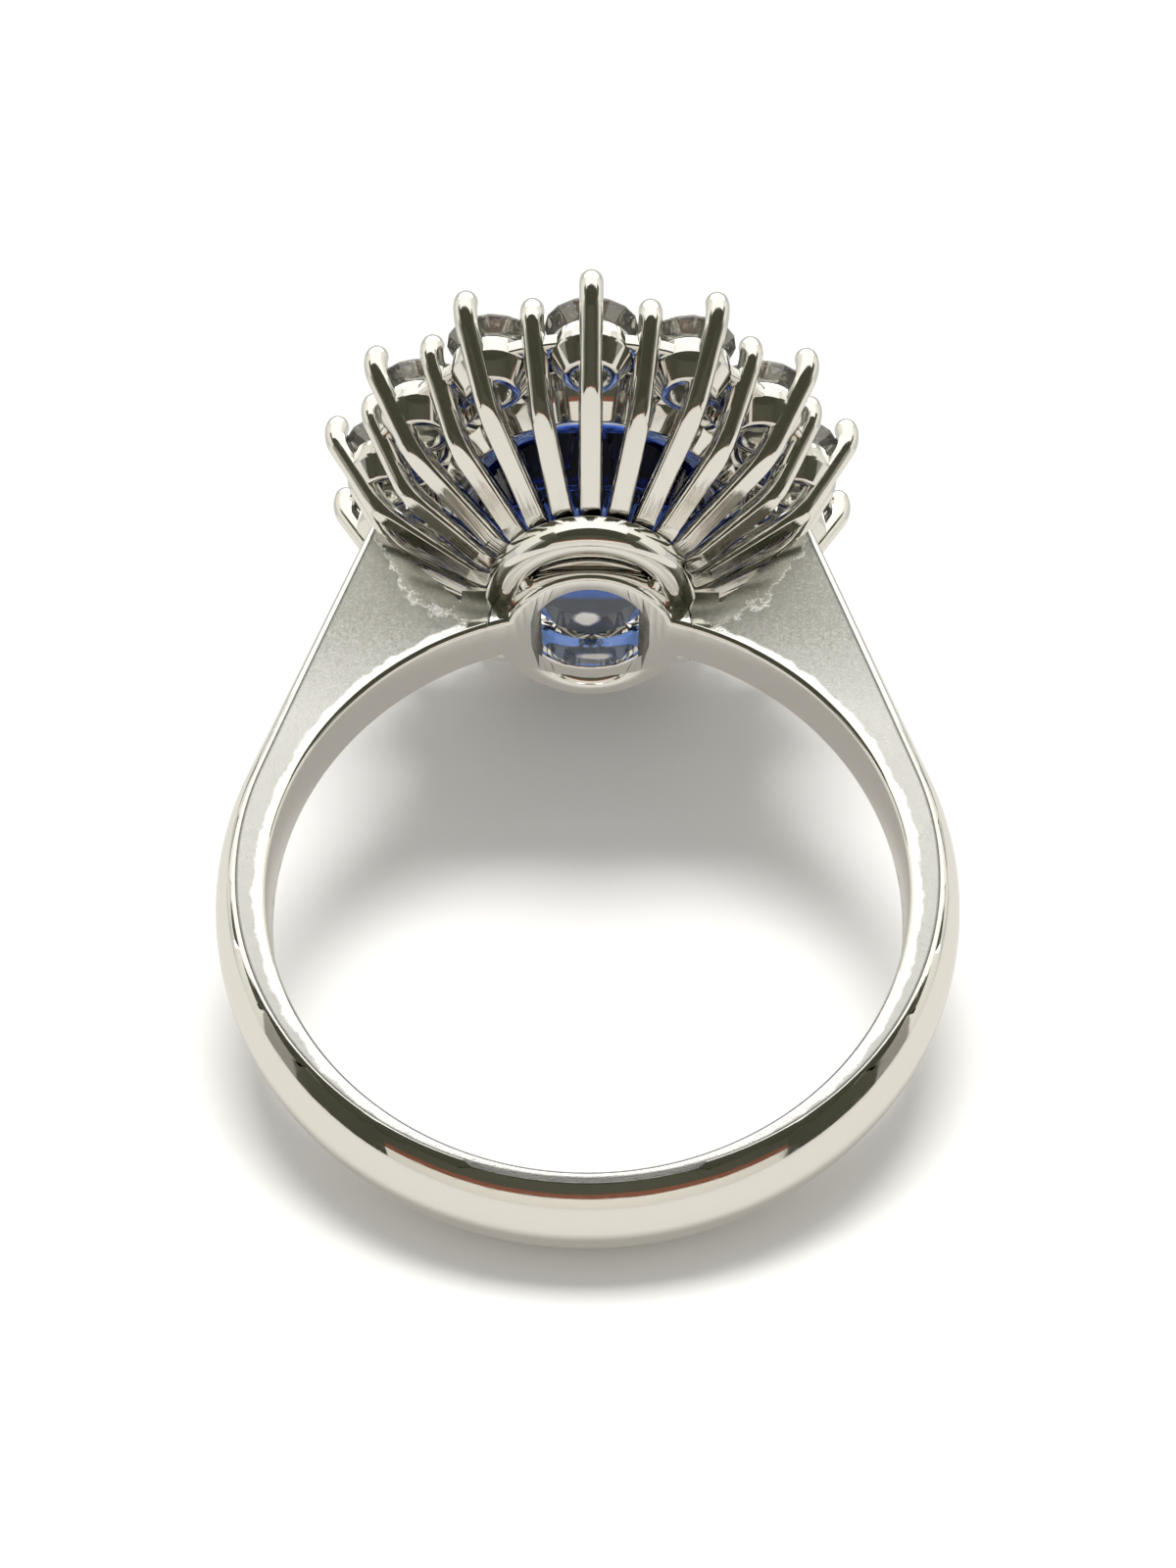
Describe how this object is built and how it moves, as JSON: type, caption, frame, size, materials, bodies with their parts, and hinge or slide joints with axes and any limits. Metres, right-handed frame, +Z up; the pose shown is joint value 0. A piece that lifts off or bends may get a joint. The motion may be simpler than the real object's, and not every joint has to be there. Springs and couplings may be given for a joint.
{
  "type": "sapphire and diamond cluster ring",
  "caption": "White metal finger ring lying on its side, with an oval blue sapphire in a halo of round diamonds on a basket of radiating wires, open eyelet and plate shoulders.",
  "frame": {"origin": "middle of the finger hole, on its axis", "axes": "+Z straight up from the table on which the ring lies on its side, +Y level from the palm side of the hoop toward the stones, +X level across the ring"},
  "size_m": [0.0198, 0.0259, 0.0169],
  "materials": {
    "white_metal": "polished white precious metal, satin on the hoop's flat sides",
    "sapphire": "polished facets, royal blue",
    "diamond": "polished facets, colourless"
  },
  "bodies": {
    "root": {"mounting": "white_metal", "sapphire": "sapphire", "diamond_01": "diamond", "diamond_02": "diamond", "diamond_03": "diamond", "diamond_04": "diamond", "diamond_05": "diamond", "diamond_06": "diamond", "diamond_07": "diamond", "diamond_08": "diamond", "diamond_09": "diamond", "diamond_10": "diamond", "diamond_11": "diamond", "diamond_12": "diamond", "diamond_13": "diamond", "diamond_14": "diamond"}
  },
  "joints": []
}
